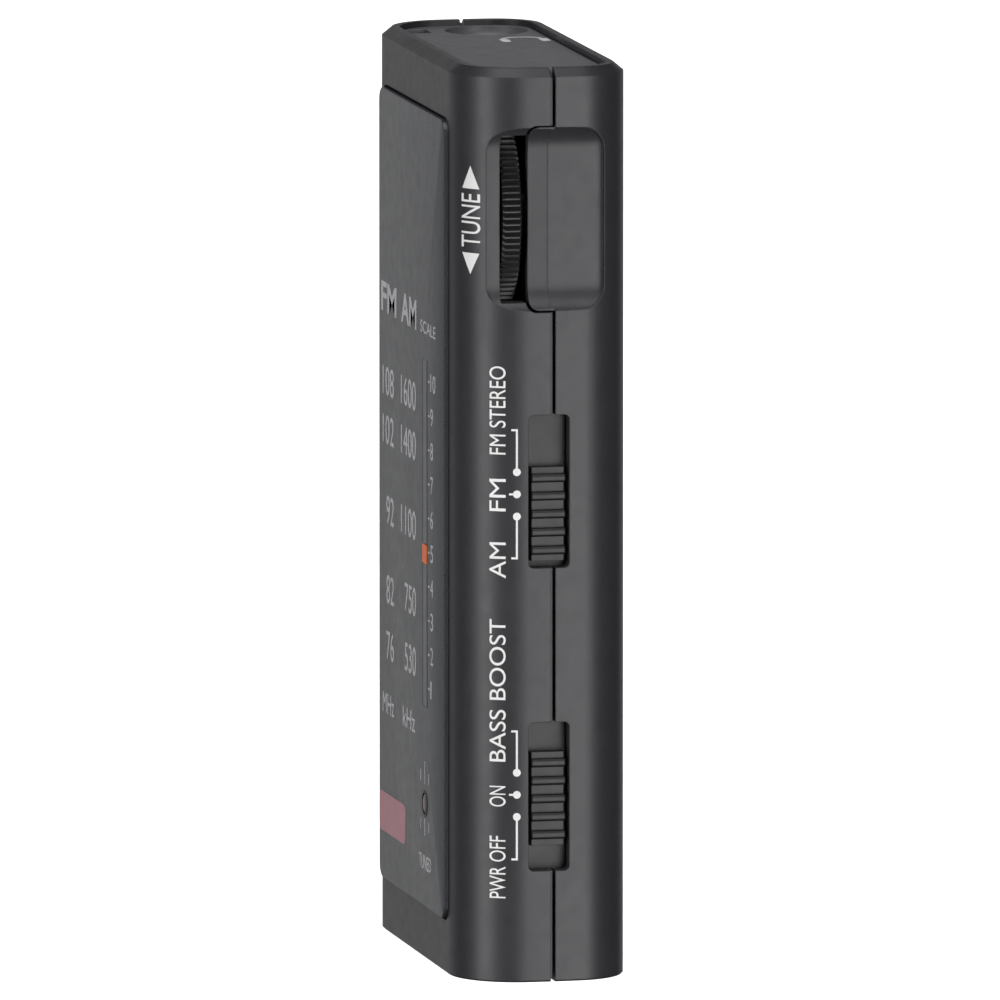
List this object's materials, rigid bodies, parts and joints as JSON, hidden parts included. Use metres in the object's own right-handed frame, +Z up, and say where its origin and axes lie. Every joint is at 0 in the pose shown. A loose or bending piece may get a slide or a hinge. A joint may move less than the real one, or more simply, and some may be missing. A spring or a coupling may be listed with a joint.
{
  "type": "pocket radio receiver",
  "caption": "Slim pocket AM/FM radio: two-piece case, raised dial panel with a cord-driven pointer, side tuning wheel in a finger recess and two ribbed slide switches",
  "frame": {"origin": "bottom centre of the bounding box, on the resting surface", "axes": "+Z up along the tall side, -Y out of the dial panel, +X out of the side with the tuning wheel and the two slide switches"},
  "size_m": [0.04, 0.0161, 0.082],
  "materials": {
    "case_plastic": "fine spark-eroded texture",
    "panel_plastic": "smooth semi-gloss",
    "inlay_plastic": "fine matte",
    "black_plastic": "moulded satin",
    "plated_steel": "zinc plated",
    "cell_jacket": "shrink sleeve, plain",
    "board_resin": "solder mask",
    "ferrite": "sintered, matte",
    "copper_wire": "lacquered winding",
    "capacitor_sleeve": "shrink sleeve, plain",
    "natural_plastic": "natural acetal",
    "cord_fibre": "waxed cord",
    "orange_plastic": "moulded",
    "red_plastic": "tinted, shown opaque"
  },
  "bodies": {
    "case": {"front_shell": "case_plastic", "rear_shell": "case_plastic", "dial_panel": "panel_plastic", "top_inlay": "inlay_plastic", "strap_post": "plated_steel", "headphone_jack": "black_plastic", "jack_collar": "black_plastic", "led_lens": "red_plastic", "led_lamp": "red_plastic", "tuning_pot": "plated_steel", "volume_pot": "plated_steel", "dial_cord": "cord_fibre", "band_switch_body": "plated_steel", "power_switch_body": "plated_steel", "circuit_board": "board_resin", "receiver_chip": "black_plastic", "amplifier_chip": "black_plastic", "tuning_crystal": "plated_steel", "capacitor_supply": "capacitor_sleeve", "capacitor_left": "capacitor_sleeve", "capacitor_right": "capacitor_sleeve", "antenna_rod": "ferrite", "antenna_coil": "copper_wire", "battery_cell": "cell_jacket", "positive_contact": "plated_steel", "negative_contact": "plated_steel", "battery_spring": "plated_steel", "case_screw_lower": "plated_steel", "case_screw_middle": "plated_steel", "case_screw_upper": "plated_steel"},
    "tuning": {"tuning_wheel": "black_plastic", "tuning_shaft": "plated_steel"},
    "pulley": {"cord_pulley": "natural_plastic"},
    "pointer": {"dial_pointer": "orange_plastic"},
    "volume": {"volume_wheel": "black_plastic", "volume_shaft": "plated_steel"},
    "band_switch": {"band_switch_knob": "black_plastic", "band_switch_lever": "black_plastic"},
    "power_switch": {"power_switch_knob": "black_plastic", "power_switch_lever": "black_plastic"},
    "door": {"battery_door": "case_plastic"}
  },
  "joints": [
    {"name": "tuning_turn", "type": "hinge", "parent": "case", "child": "tuning", "pos_m": [0.0092, -0.00385, 0.0685], "axis": [0, 1, 0], "range_deg": [-130, 169]},
    {"name": "pulley_turn", "type": "hinge", "parent": "case", "child": "pulley", "pos_m": [0.0063, -0.00485, 0.0195], "axis": [0, 1, 0], "range_deg": [-290, 375]},
    {"name": "pointer_slide", "type": "slide", "parent": "case", "child": "pointer", "axis": [0, 0, 1], "range_m": [-0.0121, 0.0157]},
    {"name": "volume_turn", "type": "hinge", "parent": "case", "child": "volume", "pos_m": [-0.0126, -0.00385, 0.06], "axis": [0, 1, 0], "range_deg": [-150, 150]},
    {"name": "band_switch_slide", "type": "slide", "parent": "case", "child": "band_switch", "axis": [0, 0, 1], "range_m": [0, 0.004]},
    {"name": "power_switch_slide", "type": "slide", "parent": "case", "child": "power_switch", "axis": [0, 0, 1], "range_m": [-0.002, 0.002]},
    {"name": "battery_door_slide", "type": "slide", "parent": "case", "child": "door", "axis": [0, 0, -1], "range_m": [0, 0.048]}
  ],
  "couplings": [
    {"joint": "pointer_slide", "follows": "tuning_turn", "m_per_rad": 0.0053},
    {"joint": "pulley_turn", "follows": "tuning_turn", "ratio": 2.2083}
  ]
}
